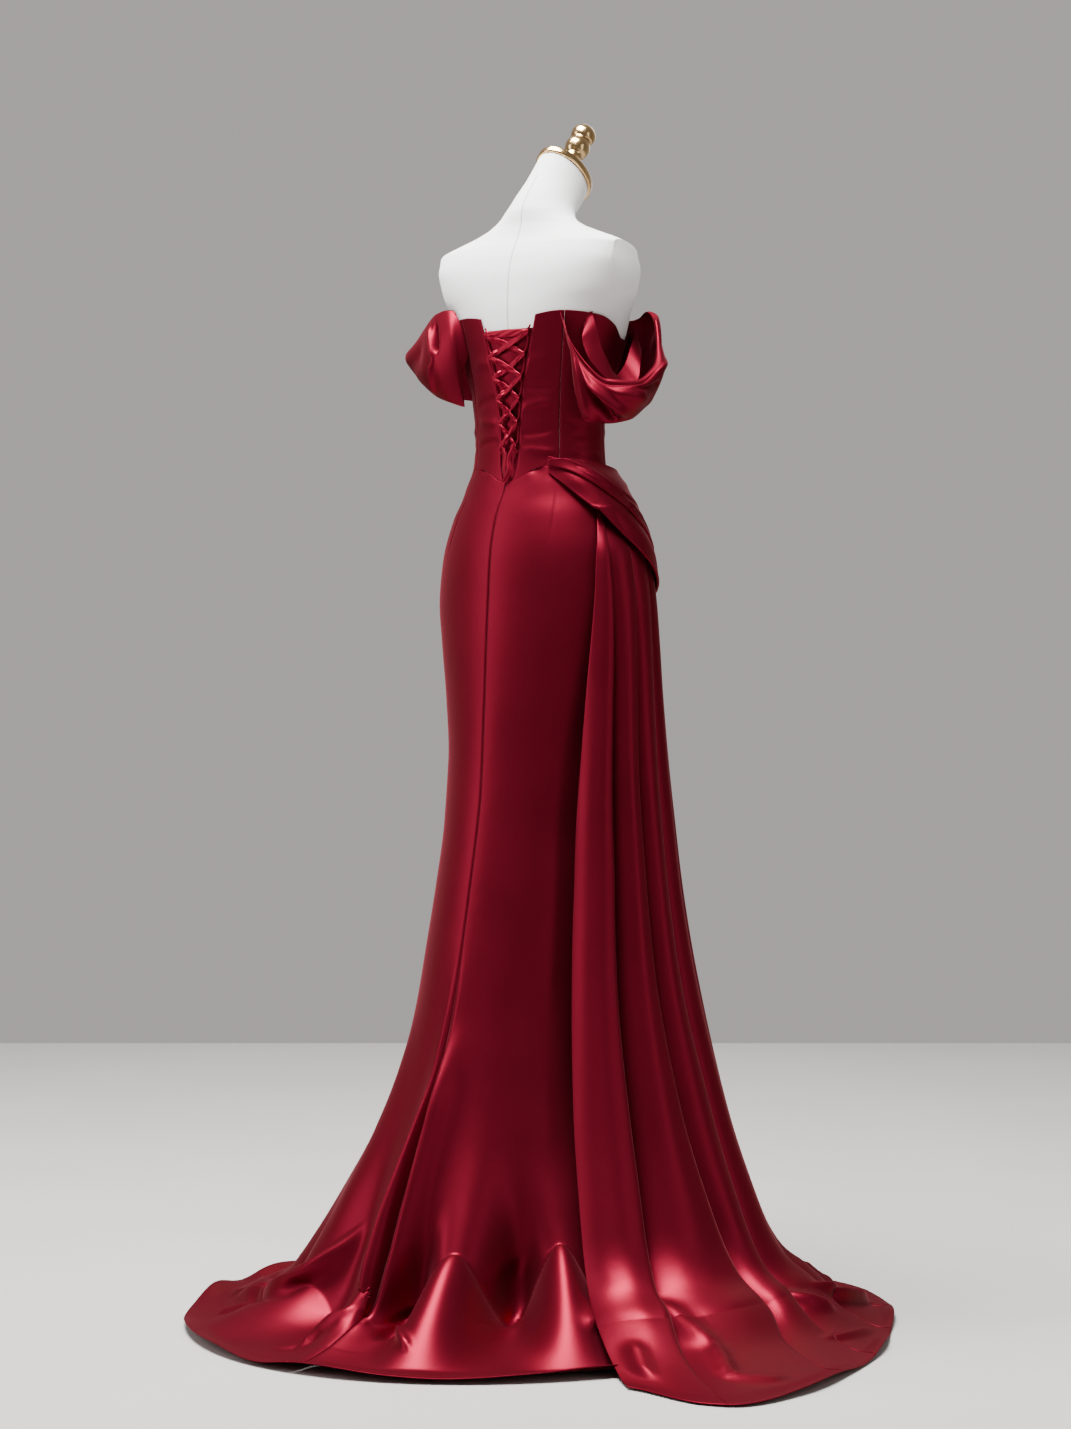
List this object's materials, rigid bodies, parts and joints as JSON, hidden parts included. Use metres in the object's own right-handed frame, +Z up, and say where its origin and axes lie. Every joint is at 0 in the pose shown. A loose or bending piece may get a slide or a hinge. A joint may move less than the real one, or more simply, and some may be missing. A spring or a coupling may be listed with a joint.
{
  "type": "mermaid prom dress on a limbless dress form",
  "caption": "Full-length mermaid gown with laced corset back, draped off-shoulder sleeves, hip swags, side overskirt and train, standing on a limbless dress form.",
  "frame": {"origin": "centre of the underside of the stand's base, on the floor", "axes": "+Z up, the gown's front faces -Y, the wearer's left is +X"},
  "size_m": [1.2348, 1.0664, 1.9843],
  "materials": {
    "satin": "heavy burgundy duchess satin with a soft lustre",
    "lacing": "burgundy satin rouleau and ribbon",
    "jersey": "white stretch jersey over a padded form",
    "gold": "polished pale gold",
    "steel": "satin steel tube and base plate"
  },
  "bodies": {
    "root": {"form_torso": "jersey", "form_arm_plate_left": "jersey", "form_arm_plate_right": "jersey", "neck_cap": "gold", "finial": "gold", "pole": "steel", "base": "steel", "bodice_centre_front": "satin", "bodice_side_front_right": "satin", "bodice_side_front_left": "satin", "bodice_side_back_right": "satin", "bodice_side_back_left": "satin", "bodice_centre_back_right": "satin", "bodice_centre_back_left": "satin", "lacing_under_panel": "satin", "lacing_loops_right": "lacing", "lacing_loops_left": "lacing", "lacing_ribbon": "lacing", "skirt_back_right": "satin", "skirt_back_left": "satin", "skirt_front": "satin", "overskirt": "satin", "hip_swag_lower": "satin", "hip_swag_upper": "satin", "sleeve_drape_right": "satin", "sleeve_drape_left": "satin", "sleeve_strap_right": "satin", "sleeve_strap_left": "satin"}
  },
  "joints": []
}
